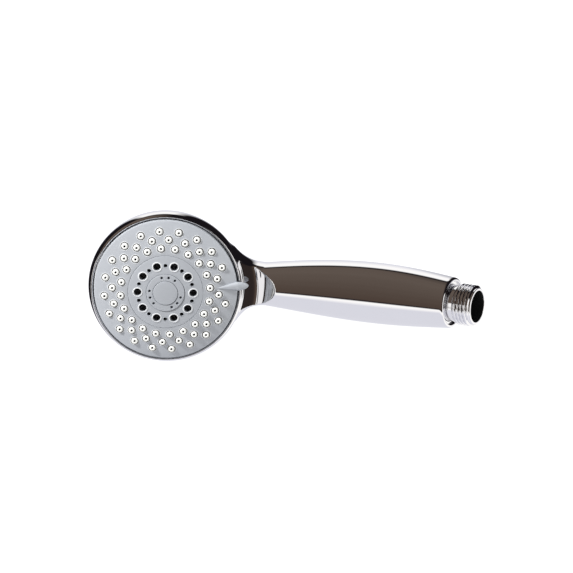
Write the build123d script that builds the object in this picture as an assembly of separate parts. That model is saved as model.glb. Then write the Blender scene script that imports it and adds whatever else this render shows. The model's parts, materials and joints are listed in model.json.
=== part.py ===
"""Handheld shower head with a three-way spray selector, one STEP file for each piece.

Everything is drawn in the head's own frame and then laid on its back by stand().
Head frame, millimetres: origin on the crown of the spray face, +Z out of the face,
+X towards the handle. The handle and the head share the plane Y = 0.
"""

from build123d import *
import math
import os

os.makedirs("parts", exist_ok=True)

# ---------------------------------------------------------------- driving dimensions
REST_TILT = 14.0            # turn about Y that lays head and handle on one plane
LEVER_CLOCK = 4.0           # the spray face is clocked this far off the handle's plane, degrees
LEVER_TRIM = -1.5           # turn of the lever inside its gap between the nozzles
MODE_STEP = 30.0            # turn between two spray settings, degrees

DOME_R = 118.0              # spray face curvature
FACE_R = 37.0               # spray face radius
PLATE_T = 2.2               # face plate thickness
SKIRT_T = 1.6               # face plate skirt wall
SKIRT_Z = -13.0             # lower edge of the skirt
RIM_R = 40.3                # head radius at its widest
RIM_Z = -12.3               # height of the widest ring
LIP_R, LIP_Z = 38.6, -6.9   # front of the chrome rim
HEAD_Z = -37.5              # pole of the head's back
MOUTH_R = 37.35             # bore that takes the spray face
MOUTH_Z = -7.9              # foot of the lip's inner side
VALLEY_Z = -10.4            # floor of the valley that the lever's tip travels in
VALLEY_TOP = (59.0, 1.5)    # radius and height where the valley's far wall ends
ABOVE = 14.0                # any height over the handle's neck
SHELL_T = 2.4               # shell wall
NECK_WALL = 2.8             # shell wall in the neck

NOZZLE_RINGS = ((31.6, 18.0, 20, True), (27.45, 9.0, 20, False), (23.1, 0.0, 20, False))
NIPPLE_R = 1.5              # silicone nozzle radius
NIPPLE_TIP_R = 1.25
NIPPLE_PROUD = 0.9          # height of a nozzle over the face
NIPPLE_HOLE_R = 1.75        # hole round a nozzle
JET_R = 0.5                 # water hole in a nozzle
MAT_IN, MAT_OUT, MAT_T = 21.2, 34.6, 1.2

INSERT_R = 19.3             # mist ring outside radius
DISC_R = 9.8                # massage disc radius
CAP_R = 6.3                 # centre cap radius
MIST_R, MIST_HOLE_R, MIST_FINE_R = 14.3, 1.95, 0.95
MIST_COUNT, MIST_START, FINE_START = 10, -6.0, 12.2
MASSAGE_R, MASSAGE_HOLE_R = 8.2, 0.65

FLOOR_Z, FLOOR_T = -10.2, 1.8           # distributor floor
GASKET_T = 0.6
ROTOR_TOP = FLOOR_Z - FLOOR_T - GASKET_T
ROTOR_Z = -17.4                         # rotor back face
CARRIER_Z, CARRIER_T = -18.4, 3.0       # valve carrier
CARRIER_R = 33.2
BOSS_R, BOSS_ANGLES = 29.5, (75, 140, 220, 285)    # posts that hold the carrier
FIT = 0.25                              # room between the carrier and the shell
PORT_R = 22.0                           # valve port distance from the axis
SPINDLE_R, SPINDLE_TOP = 5.0, -12.7
HUB_R, HUB_DEEP = 8.5, 9.0              # hub behind the carrier
SEAT_R, SEAT_Z = 5.2, -23.4             # pocket of the port seal and its spring
WAY_R = 3.2                             # water way under the seal, and the detent's post
DETENT_Z = -25.4                        # back of the detent's post
POST_R, POST_BACK = 3.4, -30.0          # posts for the carrier's screws
SCREW_SHANK, PILOT_DEEP = 1.25, 6.0     # carrier screws and the depth of their pilot holes
RUN_FIT = 0.06                          # radial clearance of the spindle
PLATE_DISC_R = 34.9                     # distributor and rotor radius
SCREW_R, SCREW_ANGLES = 24.5, (60, 120, 240, 300)   # screws that join rotor and distributor
DETENT_R, BALL_R = 26.0, 2.0             # detent ball, on the far side from the handle
DETENT_WIRE, SEAL_WIRE = 0.25, 0.25      # spring wire radii
CENTRE_SCREW_R, CENTRE_HEAD_Z = 2.0, -4.05          # central screw and the face under its head
CHAMBER_WALLS = ((19.0, 17.6), (12.0, 10.6))        # ring walls between the spray chambers
CHAMBER_ENDS = (27.0, 15.0, 8.0)                    # radii where the three ways reach their chambers

NECK_HALF, BELLY_HALF, END_HALF = 11.25, 15.75, 12.8    # handle half widths
NECK_DEEP, BELLY_DEEP, END_DEEP = 12.0, 14.2, 12.6      # handle half depths
NECK_AT, BELLY_AT = 0.11, 0.62                          # places along the handle
FLARE_HALF, FLARE_SPAN = 11.2, 0.171                    # widening of the neck into the head
END_X, END_Z, END_SLOPE = 146.0, 25.9, 30.4             # centre and slope of the end
START_X, START_Z, START_SLOPE = 40.0, -17.0, 12.0
HANDLE_STATIONS = (-0.2, -0.13, -0.065, -0.03, 0.0, 0.03, 0.06, 0.11, 0.2, 0.32, 0.46, 0.62, 0.75, 0.88, 1.0)
HANDLE_REACH = 38.0                                     # length of the curve's handles

THREAD_R, THREAD_ROOT_R, THREAD_PITCH = 10.4775, 9.3155, 1.814      # G1/2
COLLAR_L, THREAD_L, CREST_L = 3.2, 10.0, 0.36
INLET_R, INLET_DEEP = 8.0, 7.0
FILTER_R, FILTER_T = 7.4, 2.4
SPIGOT_R, SPIGOT_L = 9.3, 15.0
INLET_L = COLLAR_L + THREAD_L
TUBE_R, TUBE_BORE_R, PIPE_BORE_R = 3.8, 2.8, 2.0        # inner water tube and its spigot


# ---------------------------------------------------------------- helpers
def dome(r, below=0.0):
    """Height of the spray face at radius r, less a depth below it."""
    return math.sqrt(DOME_R**2 - r**2) - DOME_R - below


def spun(*points):
    """Solid turned about Z from a closed outline of (r, z) points."""
    outline = make_face(Plane.XZ * Polyline(*points, close=True))
    return revolve(outline, Axis.Z, 360)


def at(r, angle, z=0.0):
    """Place on a circle about the head's axis."""
    return Location((r * math.cos(math.radians(angle)), r * math.sin(math.radians(angle)), z))


def rod(radius, low, high):
    """Cylinder on Z from low to high."""
    return Pos(0, 0, low) * Cylinder(radius, high - low, align=(Align.CENTER, Align.CENTER, Align.MIN))


def tube(outer, inner, low, high):
    """Ring on Z from low to high."""
    return rod(outer, low, high) - rod(inner, low - 1, high + 1)


def dome_arc(start, stop, below):
    """Arc of the spray face's outline from one radius to another, at a depth below it."""
    middle = (start + stop) / 2
    return ThreePointArc((start, dome(start, below)), (middle, dome(middle, below)), (stop, dome(stop, below)))


def domed_ring(outer, inner, thick, below=0.0):
    """Ring that follows the spray face's curve, with its front at a depth below it."""
    front = dome_arc(inner, outer, below)
    back = dome_arc(outer, inner, below + thick)
    sides = [Line(front @ 1, back @ 0), Line(back @ 1, front @ 0)]
    return revolve(Plane.XZ * make_face([front, sides[0], back, sides[1]]), Axis.Z, 360)


def handle_point(t):
    """Point and direction of the handle's centre line at t, from 0 to 1."""
    a = math.radians(START_SLOPE)
    b = math.radians(END_SLOPE)
    xs = (START_X, START_X + HANDLE_REACH * math.cos(a), END_X - HANDLE_REACH * math.cos(b), END_X)
    zs = (START_Z, START_Z + HANDLE_REACH * math.sin(a), END_Z - HANDLE_REACH * math.sin(b), END_Z)
    u = 1 - t
    weights = (u**3, 3 * u * u * t, 3 * u * t * t, t**3)
    slopes = (3 * u * u, 6 * u * t, 3 * t * t)
    x = sum(w * p for w, p in zip(weights, xs))
    z = sum(w * p for w, p in zip(weights, zs))
    dx = sum(w * (xs[i + 1] - xs[i]) for i, w in enumerate(slopes))
    dz = sum(w * (zs[i + 1] - zs[i]) for i, w in enumerate(slopes))
    return x, z, dx, dz


def swell(t, neck, belly, end):
    """Half size of the handle at t: it swells from the neck and tapers to the end."""
    if t <= NECK_AT:
        return neck
    if t <= BELLY_AT:
        return neck + (belly - neck) * math.sin((t - NECK_AT) / (BELLY_AT - NECK_AT) * math.pi / 2)
    return end + (belly - end) * math.cos((t - BELLY_AT) / (1 - BELLY_AT) * math.pi / 2)


def flare(t):
    """Extra half width where the neck opens into the head."""
    share = min(max((NECK_AT - t) / FLARE_SPAN, 0.0), 1.0)
    return FLARE_HALF * share**2.4


def handle_loft(inset, stations):
    """Solid of elliptical sections along the handle, set in from the outer surface."""
    sections = []
    for t in stations:
        x, z, dx, dz = handle_point(t)
        plane = Plane(origin=(x, 0, z), x_dir=(0, 1, 0), z_dir=(dx, 0, dz))
        wide = swell(t, NECK_HALF, BELLY_HALF, END_HALF) + flare(t) - inset
        deep = swell(t, NECK_DEEP, BELLY_DEEP, END_DEEP) - inset
        sections.append(plane * Ellipse(wide, deep))
    return loft(sections)


def inlet_frame():
    """Frame of the hose inlet: origin on the handle's end, +Z out along the thread."""
    a = math.radians(END_SLOPE)
    return Plane(origin=(END_X, 0, END_Z), x_dir=(0, 1, 0), z_dir=(math.cos(a), 0, math.sin(a)))


def stand(shape):
    """Lays the head frame down and puts the origin on the hose inlet's end face."""
    a = math.radians(END_SLOPE)
    tip = (END_X + INLET_L * math.cos(a), 0, END_Z + INLET_L * math.sin(a))
    return Rot(0, REST_TILT, 0) * Pos(-tip[0], 0, -tip[2]) * shape


def save(name, shape):
    """Writes one piece, or a group of like pieces, laid down."""
    solids = shape.solids() if not isinstance(shape, list) else [s for one in shape for s in one.solids()]
    placed = [stand(s) for s in solids]
    export_step(placed[0] if len(placed) == 1 else Compound(children=placed), f"parts/{name}.step")


def save_turned(name, shape):
    """Writes a piece of the spray face, which is clocked with the lever."""
    shapes = shape if isinstance(shape, list) else [shape]
    save(name, [Rot(0, 0, LEVER_CLOCK) * one for one in shapes])


# ---------------------------------------------------------------- fixed body
def head_outline(inset):
    """Back of the head from its pole to the widest ring, set in by a wall."""
    pole = HEAD_Z + inset
    return Spline(
        (0, pole), (18, -35.3 + inset), (31 - 0.6 * inset, -28.4 + 0.8 * inset),
        (38.4 - inset, -19.0 + 0.3 * inset), (RIM_R - inset, RIM_Z),
        tangents=[(1, 0), (0, 1)],
    )


def head_solid():
    """Outer form of the head, with a rounded front rim."""
    back = head_outline(0)
    rim = ThreePointArc((RIM_R, RIM_Z), (39.75, -9.2), (LIP_R, LIP_Z))
    inner = ThreePointArc((LIP_R, LIP_Z), (37.9, -7.0), (MOUTH_R, MOUTH_Z))
    front = Polyline((MOUTH_R, MOUTH_Z), (0, MOUTH_Z), (0, HEAD_Z))
    return revolve(Plane.XZ * make_face(back + rim + inner + front), Axis.Z, 360)


def head_hollow(wall=SHELL_T):
    """Space inside the head: a bowl, and the bore for the spray face."""
    bowl = head_outline(wall)
    side = Polyline((RIM_R - wall, RIM_Z), (MOUTH_R, RIM_Z + 2), (MOUTH_R, 5), (0, 5), (0, HEAD_Z + wall))
    return revolve(Plane.XZ * make_face(bowl + side), Axis.Z, 360)


def lever_valley():
    """Ring-shaped valley between the rim and the neck, where the lever travels."""
    start = (LIP_R - 0.6, VALLEY_Z)
    floor = Spline(start, (42.5, VALLEY_Z - 0.1), (46.4, VALLEY_Z + 0.2), (49.6, -7.6), (53.4, -3.0), VALLEY_TOP)
    top = Polyline(VALLEY_TOP, (VALLEY_TOP[0], ABOVE), (start[0], ABOVE), start)
    return revolve(Plane.XZ * make_face(floor + top), Axis.Z, 360)


def neck_hollow(wall=NECK_WALL):
    """Water way of the neck, kept under the lever's valley."""
    roof = spun((36, -15.3), (46.6, -15.1), (52, -10.9), (60, -3.2), (60, ABOVE), (36, ABOVE))
    return handle_loft(wall, HANDLE_STATIONS[2:9]) - roof


def body_shell():
    """Chromed head and handle, moulded in one hollow piece."""
    outside = handle_loft(0, HANDLE_STATIONS) - lever_valley()
    shell = head_solid() + (outside - rod(39.0, LIP_Z - 0.1, 20))
    shell -= head_hollow()
    shell -= neck_hollow()
    shell -= handle_loft(SHELL_T, HANDLE_STATIONS[8:14])
    end = inlet_frame()
    shell -= end * rod(SPIGOT_R + 0.05, -SPIGOT_L - 5, 1)
    shell -= end * rod(END_HALF - 1.7, -1.5, 1)
    for angle in BOSS_ANGLES:
        shell += at(BOSS_R, angle) * rod(POST_R, POST_BACK, CARRIER_Z - CARRIER_T) & head_solid()
        shell -= at(BOSS_R, angle) * rod(SCREW_SHANK, CARRIER_Z - CARRIER_T - PILOT_DEEP, CARRIER_Z)
    return shell


def inlet_connector():
    """Threaded hose connector with its spigot, O-ring groove and stepped bore."""
    depth = THREAD_R - THREAD_ROOT_R
    flank = (THREAD_PITCH - CREST_L) / 2
    points = [(0, -SPIGOT_L), (SPIGOT_R - 0.6, -SPIGOT_L), (SPIGOT_R, -SPIGOT_L + 0.6), (SPIGOT_R, -11.0)]
    points += [(SPIGOT_R - 1.4, -11.0), (SPIGOT_R - 1.4, -8.8), (SPIGOT_R, -8.8), (SPIGOT_R, COLLAR_L)]
    crests = int((THREAD_L - 0.8) / THREAD_PITCH)
    for i in range(crests):
        foot = COLLAR_L + 0.1 + i * THREAD_PITCH
        points += [(THREAD_ROOT_R, foot), (THREAD_R, foot + flank)]
        points += [(THREAD_R, foot + flank + CREST_L), (THREAD_ROOT_R, foot + THREAD_PITCH - 0.01)]
    points += [(THREAD_ROOT_R, INLET_L - 0.5), (THREAD_ROOT_R - 0.4, INLET_L), (0, INLET_L)]
    body = spun(*points)
    body -= rod(INLET_R, INLET_L - INLET_DEEP, INLET_L + 1)
    body -= rod(FILTER_R, INLET_L - INLET_DEEP - FILTER_T, INLET_L)
    body -= rod(6.2, -SPIGOT_L - 1, INLET_L)
    return inlet_frame() * body


def ring_seal(radius, thick):
    """O-ring in the plane Z = 0."""
    return Torus(radius, thick)


def inlet_filter():
    """Perforated cup that catches grit at the hose inlet."""
    low = INLET_L - INLET_DEEP - FILTER_T
    cup = tube(FILTER_R - 0.05, 6.4, low, low + 2.2) + rod(7.0, low, low + 0.7)
    holes = []
    for ring, count in ((0, 1), (2.0, 6), (4.0, 12)):
        holes += [at(ring, 360 / count * k) * rod(0.5, low - 1, low + 2) for k in range(count)]
    return inlet_frame() * (cup - holes)


def flow_restrictor():
    """Disc that limits the flow, pressed in the connector's inner bore."""
    disc = rod(6.15, -4.0, 0.0) - rod(4.6, -3.0, 1.0)
    holes = [at(2.6, 60 * k) * rod(0.7, -5, 0) for k in range(6)]
    return inlet_frame() * (disc - holes)


def water_path():
    """Route of the inner water tube from the connector to the neck."""
    a = math.radians(END_SLOPE)
    start = (END_X - 12 * math.cos(a), 0, END_Z - 12 * math.sin(a))
    bend = (106.3, 0, END_Z - (END_X - 106.3) * math.tan(a))
    return FilletPolyline((50.5, 0, -19.0), (72.0, 0, -12.6), bend, start, radius=90)


def water_tube():
    """Inner tube that carries the water through the handle."""
    path = water_path()
    section = Plane(origin=path @ 0, z_dir=path % 0)
    return sweep(section * Circle(TUBE_R), path) - sweep(section * Circle(TUBE_BORE_R), path)


def spigot_frame():
    """Frame of the carrier's pipe: origin at the water tube's end, +Z into the tube."""
    path = water_path()
    return Plane(origin=path @ 0, z_dir=path % 0)


def carrier_elbow():
    """Water elbow from the pipe to the valve port, cut to clear the shell."""
    block = Pos(24.0, 0, -24.5) * Box(18, 13, 8)
    pipe = spigot_frame() * rod(TUBE_R, -24.0, -0.1)
    room = head_hollow(SHELL_T + FIT) + neck_hollow(NECK_WALL + FIT)
    elbow = (block + pipe) & room
    return elbow + spigot_frame() * rod(TUBE_BORE_R - 0.03, -2.0, 7.0)


def port_carrier():
    """Fixed valve carrier: disc, spindle, water elbow and the spring pockets."""
    carrier = rod(CARRIER_R, CARRIER_Z - CARRIER_T, CARRIER_Z)
    carrier += rod(SPINDLE_R, CARRIER_Z - HUB_DEEP, SPINDLE_TOP)
    carrier += rod(HUB_R, CARRIER_Z - HUB_DEEP, CARRIER_Z)
    carrier += carrier_elbow()
    carrier += at(DETENT_R, 180) * rod(WAY_R, DETENT_Z, CARRIER_Z)
    carrier -= spigot_frame() * rod(PIPE_BORE_R, -29.0, 8.0)
    carrier -= at(PORT_R, 0) * rod(WAY_R, -25.5, 0)
    carrier -= at(PORT_R, 0) * rod(SEAT_R, SEAT_Z, 0)
    carrier -= at(DETENT_R, 180) * rod(BALL_R + RUN_FIT, DETENT_Z + 1.0, 0)
    carrier -= rod(CENTRE_SCREW_R, CARRIER_Z - 7.0, 0)
    carrier -= tube(7.0, SPINDLE_R, CARRIER_Z - 1.2, CARRIER_Z + 1)
    return carrier - [at(BOSS_R, angle) * rod(1.6, -24, 0) for angle in BOSS_ANGLES]


def coil_spring(radius, wire, length, turns):
    """Closed wire coil standing on Z = 0."""
    coil = Helix(pitch=length / turns, height=length, radius=radius)
    section = Plane(origin=coil @ 0, z_dir=coil % 0)
    return sweep(section * Circle(wire), coil, is_frenet=True)


def screw(shank, length, head, head_t):
    """Pan-head screw whose head stands on Z = 0 with its shank below it."""
    body = rod(shank, -length, 0) + rod(head, 0, head_t)
    body = fillet(body.edges().filter_by(GeomType.CIRCLE).group_by(Axis.Z)[-1], head_t * 0.4)
    slot_a = Pos(0, 0, head_t) * Box(head * 1.3, 0.5, head_t)
    slot_b = Pos(0, 0, head_t) * Box(0.5, head * 1.3, head_t)
    return body - slot_a - slot_b


# ---------------------------------------------------------------- spray face
def nozzle_spots():
    """Places of the silicone nozzles; the lever takes one place of the outer ring."""
    spots = []
    for radius, start, count, gap in NOZZLE_RINGS:
        step = 360 / count
        spots += [(radius, start + step * k) for k in range(count - 1 if gap else count)]
    return spots


def lever():
    """Selector lever: a wedge that rises from the face and ends past the rim."""
    outline = make_face(Polyline((27.5, 0), (33.0, 1.35), (37.2, 2.1), (41.3, 2.5), (42.7, 0.0),
                                 (41.3, -2.5), (37.2, -2.1), (33.0, -1.35), close=True))
    blank = extrude(Pos(0, 0, -9) * outline, 9)
    side = Plane.XZ * make_face(Polyline((27.0, -3.4), (36.5, -2.9), (41.6, -3.3), (43.0, -4.6),
                                         (43.0, -6.2), (36.9, -6.2), (36.0, -7.2), (27.0, -5.0), close=True))
    return Rot(0, 0, LEVER_TRIM) * (blank & extrude(side, 8, both=True))


def face_plate():
    """Satin face plate with its skirt, nozzle holes and moulded lever."""
    inner, wall = INSERT_R + 0.1, FACE_R - SKIRT_T
    front = dome_arc(inner, FACE_R - 0.5, 0)
    back = dome_arc(wall, inner, PLATE_T)
    skirt = Polyline(front @ 1, (FACE_R, dome(FACE_R) - 0.5), (FACE_R, SKIRT_Z), (wall, SKIRT_Z), back @ 0)
    plate = revolve(Plane.XZ * make_face([front, *skirt.edges(), back, Line(back @ 1, front @ 0)]), Axis.Z, 360)
    plate += lever()
    holes = [at(r, angle) * rod(NIPPLE_HOLE_R, -12, 3) for r, angle in nozzle_spots()]
    return plate - holes


def nozzle_mat():
    """Silicone mat with a nozzle in each hole of the face plate."""
    mat = domed_ring(MAT_OUT, MAT_IN, MAT_T, PLATE_T + 0.1)
    nipples = []
    holes = []
    for r, angle in nozzle_spots():
        tip = dome(r) + NIPPLE_PROUD
        foot = dome(r, PLATE_T + 0.8)
        nipples.append(at(r, angle, (tip + foot) / 2) * Cone(NIPPLE_R, NIPPLE_TIP_R, tip - foot))
        holes.append(at(r, angle) * rod(JET_R, -14, 4))
    return (mat + nipples) - holes


def mist_ring():
    """Ring of mist holes round the massage disc."""
    ring = domed_ring(INSERT_R, DISC_R + 0.15, PLATE_T)
    step = 360 / MIST_COUNT
    big = [at(MIST_R, MIST_START + step * k) * rod(MIST_HOLE_R, -9, 3) for k in range(MIST_COUNT)]
    fine = [at(MIST_R, FINE_START + step * k) * rod(MIST_FINE_R, -9, 3) for k in range(MIST_COUNT)]
    return ring - (big + fine)


def aerator_insert():
    """Dark ring with a cross of bars behind each mist hole."""
    top = dome(MIST_R + 3, PLATE_T) - 0.1
    ring = tube(16.9, 12.3, top - 1.6, top)
    step = 360 / MIST_COUNT
    slots = []
    for k in range(MIST_COUNT):
        for side in (-1, 1):
            slot = Pos(0, 0.75 * side, 0) * Box(2.4, 0.6, 12)
            slots.append(at(MIST_R, MIST_START + step * k, top) * Rot(0, 0, MIST_START + step * k) * slot)
    return ring - slots


def massage_disc():
    """Disc with the three groups of massage jets and the screw well."""
    disc = rod(DISC_R, -2.8, 0.35) - rod(4.7, -5, 3)
    holes = []
    for group in range(3):
        for side in (-1, 0, 1):
            angle = 72.5 + 120 * group + 25 * side
            holes.append(at(MASSAGE_R, angle) * rod(MASSAGE_HOLE_R, -5, 3))
    return disc - holes


def centre_cap():
    """Push-in cap over the central screw."""
    cap = rod(CAP_R, 0.4, 1.2) + tube(4.65, 3.9, -1.0, 0.4)
    return fillet(cap.edges().filter_by(GeomType.CIRCLE).group_by(Axis.Z)[-1], 0.35)


def mode_slots(depth, top):
    """Radial channels from the three ports to the three spray chambers."""
    half = 2.6
    slots = []
    for index, end in enumerate(CHAMBER_ENDS):
        low = min(end, PORT_R) - half
        high = max(end, PORT_R) + half
        bar = Pos((low + high) / 2, 0, 0) * SlotOverall(high - low, 2 * half)
        slots.append(Rot(0, 0, MODE_STEP * (index - 1)) * extrude(Pos(0, 0, top - depth) * bar, depth))
    return slots


def distributor():
    """Inner plate that splits the water into three ring chambers."""
    plate = rod(PLATE_DISC_R, FLOOR_Z - FLOOR_T, FLOOR_Z)
    plate += tube(PLATE_DISC_R, 33.3, FLOOR_Z, dome(MAT_OUT, PLATE_T + MAT_T) - 0.2)
    (middle_out, middle_in), (centre_out, centre_in) = CHAMBER_WALLS
    plate += tube(middle_out, middle_in, FLOOR_Z, dome(middle_out, PLATE_T) - 0.1)
    plate += tube(centre_out, centre_in, FLOOR_Z, -2.95)
    plate += rod(3.4, FLOOR_Z, -4.4)
    plate += [at(SCREW_R, angle) * rod(2.4, FLOOR_Z, -7.2) for angle in SCREW_ANGLES]
    plate -= [at(SCREW_R, angle) * rod(1.1, -20, -8.0) for angle in SCREW_ANGLES]
    plate -= rod(CENTRE_SCREW_R + 0.15, -20, 0)
    ways = enumerate(CHAMBER_ENDS)
    return plate - [at(end, MODE_STEP * (i - 1)) * rod(1.9, -20, FLOOR_Z + 0.5) for i, end in ways]


def chamber_gasket():
    """Flat seal between the rotor and the distributor."""
    sheet = rod(PLATE_DISC_R - 0.4, ROTOR_TOP, ROTOR_TOP + GASKET_T) - rod(5.6, -20, 0)
    sheet -= mode_slots(2.0, ROTOR_TOP + 1.3)
    return sheet - [at(SCREW_R, angle) * rod(1.5, -20, 0) for angle in SCREW_ANGLES]


def rotor_plate():
    """Turning valve plate with three ports, channels, hub and detent track."""
    rotor = rod(PLATE_DISC_R, ROTOR_Z, ROTOR_TOP)
    rotor -= rod(SPINDLE_R + RUN_FIT, ROTOR_Z - 1, 0)
    rotor -= mode_slots(2.4, ROTOR_TOP)
    rotor -= [at(PORT_R, MODE_STEP * k) * rod(2.6, ROTOR_Z - 1, 0) for k in (-1, 0, 1)]
    track = tube(DETENT_R + 2.3, DETENT_R - 2.3, ROTOR_Z - 1, ROTOR_Z + 0.9)
    rotor -= track & Pos(-30, 0, ROTOR_Z) * Box(30, 45, 10)
    for k in (-1, 0, 1):
        rotor -= at(DETENT_R, 180 + MODE_STEP * k, ROTOR_Z + 0.9 - 0.6) * Sphere(BALL_R)
    for angle in SCREW_ANGLES:
        rotor -= at(SCREW_R, angle) * rod(1.4, -20, 0)
        rotor -= at(SCREW_R, angle) * rod(2.6, -20, ROTOR_Z + 2.0)
    return rotor


def turbine_wheel():
    """Small water wheel whose half shutter makes the massage jets pulse."""
    hub = tube(4.9, 3.4 + RUN_FIT, -9.3, -4.9)
    shutter = rod(9.9, -5.6, -4.9) - rod(3.4 + RUN_FIT, -20, 0)
    shutter -= Pos(0, 10.2, -5) * Box(30, 20.4, 4) - rod(6.2, -20, 0)
    blades = []
    for k in range(10):
        blade = Pos(7.2, 0, -7.4) * Rot(28, 0, 0) * Box(5.4, 0.8, 3.4)
        blades.append(Rot(0, 0, 36 * k) * blade)
    return hub + shutter + blades


# ---------------------------------------------------------------- write the pieces
save("body_shell", body_shell())
save("inlet_connector", inlet_connector())
save("connector_o_ring", inlet_frame() * Pos(0, 0, -9.9) * ring_seal(SPIGOT_R - 0.69, 0.7))
save("inlet_filter", inlet_filter())
save("flow_restrictor", flow_restrictor())
save("water_tube", water_tube())
save("port_carrier", port_carrier())
save("spindle_o_ring", Pos(0, 0, CARRIER_Z - 0.45) * ring_seal(6.0, 0.72))
save("port_seal", at(PORT_R, 0) * (tube(5.0, 3.0, -19.6, ROTOR_Z - 0.1) + tube(5.0, 4.0, -20.8, -19.6)))
save("seal_spring", at(PORT_R, 0, -23.1) * coil_spring(4.5, SEAL_WIRE, 2.0, 2.5))
save("retaining_screw", Pos(0, 0, CENTRE_HEAD_Z) * screw(CENTRE_SCREW_R, 20.0, 3.5, 1.9))
save("retaining_washer", tube(3.9, CENTRE_SCREW_R + 0.1, CENTRE_HEAD_Z - 0.25, CENTRE_HEAD_Z))
save("carrier_screws", [at(BOSS_R, a, CARRIER_Z) * screw(SCREW_SHANK, 8.0, 2.6, 0.7) for a in BOSS_ANGLES])
save("detent_spring", at(DETENT_R, 180, DETENT_Z + 1.3) * coil_spring(1.5, DETENT_WIRE, 2.9, 4))
save("detent_ball", at(DETENT_R, 180, ROTOR_Z - BALL_R + 0.75) * Sphere(BALL_R))

save_turned("face_plate", face_plate())
save_turned("nozzle_mat", nozzle_mat())
save_turned("mist_ring", mist_ring())
save_turned("aerator_insert", aerator_insert())
save_turned("massage_disc", massage_disc())
save_turned("centre_cap", centre_cap())
save("distributor", distributor())
save("chamber_gasket", chamber_gasket())
save("rotor_plate", rotor_plate())
save("plate_screws", [at(SCREW_R, a, ROTOR_Z + 2.0) * Rot(180, 0, 0) * screw(1.1, 6.6, 2.2, 1.4)
                      for a in SCREW_ANGLES])
save("turbine_wheel", turbine_wheel())
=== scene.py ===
"""Looks of a handheld shower head: chromed shell, threaded inlet, satin spray face.

Laid out as an add-on and run as a script. Outlines are drawn in millimetres in the
head's own frame: origin on the crown of the spray face, +Z out of the face, +X towards
the handle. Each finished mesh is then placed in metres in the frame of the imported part.
"""
import json
import math

import bmesh
import bpy
import numpy as np
from bpy.props import FloatProperty, FloatVectorProperty, IntProperty, PointerProperty
from mathutils import Euler, Matrix, Vector
from mathutils.geometry import delaunay_2d_cdt


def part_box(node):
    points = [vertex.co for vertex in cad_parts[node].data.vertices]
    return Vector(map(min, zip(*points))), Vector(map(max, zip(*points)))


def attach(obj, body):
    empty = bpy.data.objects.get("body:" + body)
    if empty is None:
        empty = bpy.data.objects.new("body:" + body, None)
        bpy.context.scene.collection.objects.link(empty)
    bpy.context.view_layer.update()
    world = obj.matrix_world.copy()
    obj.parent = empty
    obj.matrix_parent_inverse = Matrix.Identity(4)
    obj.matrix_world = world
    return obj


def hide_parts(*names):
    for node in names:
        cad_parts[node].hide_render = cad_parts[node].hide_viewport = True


bl_info = {
    "name": "Handheld shower head",
    "version": (1, 0, 0),
    "blender": (4, 5, 0),
    "location": "3D View > Sidebar > Shower head",
    "description": "Builds the visible pieces and finishes of a handheld shower head",
    "category": "Object",
}

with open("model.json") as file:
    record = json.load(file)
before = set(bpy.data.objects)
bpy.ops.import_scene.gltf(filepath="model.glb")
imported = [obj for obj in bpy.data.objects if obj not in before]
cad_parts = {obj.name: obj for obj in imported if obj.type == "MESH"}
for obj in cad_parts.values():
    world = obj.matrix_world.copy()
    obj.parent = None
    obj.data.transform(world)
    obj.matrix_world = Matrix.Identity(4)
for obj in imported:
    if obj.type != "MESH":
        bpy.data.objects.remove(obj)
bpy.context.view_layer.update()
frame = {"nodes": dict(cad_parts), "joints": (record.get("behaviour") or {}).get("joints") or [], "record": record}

MM = 0.001


# ---------------------------------------------------------------- frames of the part
def packed(kind, name):
    """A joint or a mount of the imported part, by name."""
    rows = frame["joints"] if kind == "joint" else frame["record"]["mounts"]
    return next(row for row in rows if row["name"] == name)


def placement(centre, axis):
    """Millimetre frame with +Z along an axis and +Y kept, at a centre in metres."""
    up = Vector(axis).normalized()
    side = Vector((0, 1, 0))
    ahead = side.cross(up).normalized()
    turn = Matrix((ahead, side, up)).transposed().to_4x4()
    return Matrix.Translation(Vector(centre)) @ turn @ Matrix.Scale(MM, 4)


SELECTOR = packed("joint", "spray_selector")
BORE = packed("mount", "inlet_bore")
HEAD = placement(SELECTOR["pos_m"], SELECTOR["axis"])
INLET = placement(BORE["pos_m"], BORE["axis"])
LEVER_CLOCK = math.radians(4.0)
CLOCKED = HEAD @ Matrix.Rotation(LEVER_CLOCK, 4, "Z")
TO_HEAD = HEAD.inverted()
TIP = TO_HEAD @ Vector(BORE["pos_m"])
RUN = (TO_HEAD.to_3x3() @ Vector(BORE["axis"])).normalized()

# ---------------------------------------------------------------- sizes, millimetres
DOME_R = 118.0                  # curvature of the spray face
FACE_R = 37.0
PLATE_T = 2.2
SKIRT_Z = -13.0
RIM_R, RIM_Z = 40.3, -12.3      # widest ring of the head
RIM_RISE = 18.8                 # how tall the rim's side would close above the widest ring
BOWL_DEPTH = 25.2               # from the widest ring to the pole of the back
MOUTH_R = 37.25
LIP_Z = -6.9
LIP_R, LIP_SLOPE = 38.05, 60.0  # inner side of the lip: where it starts, and its slope in degrees
LIP_CORNER = 0.8                # rounding between the lip's crest and its inner side
SHELL_T = 2.4
NECK_WALL = 2.8
INSERT_R = 19.3
DISC_R, DISC_T = 9.8, 2.8
CAP_R = 6.3
EDGE_ROLL = 0.22                # how far the plates' edges are rolled over
LEVER_FROM, LEVER_TIP, LEVER_TO = 26.6, 37.6, 42.9      # where the lever starts, narrows and ends
LEVER_TRIM = -1.5               # degrees from the rings of nozzles
MIST_R, MIST_COUNT = 14.3, 10
MASSAGE_R, MASSAGE_HOLE = 8.2, 0.7
MASSAGE_FIRST, MASSAGE_STEP = 72.5, 25.0        # middle hole of the first group, and the step, degrees

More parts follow.
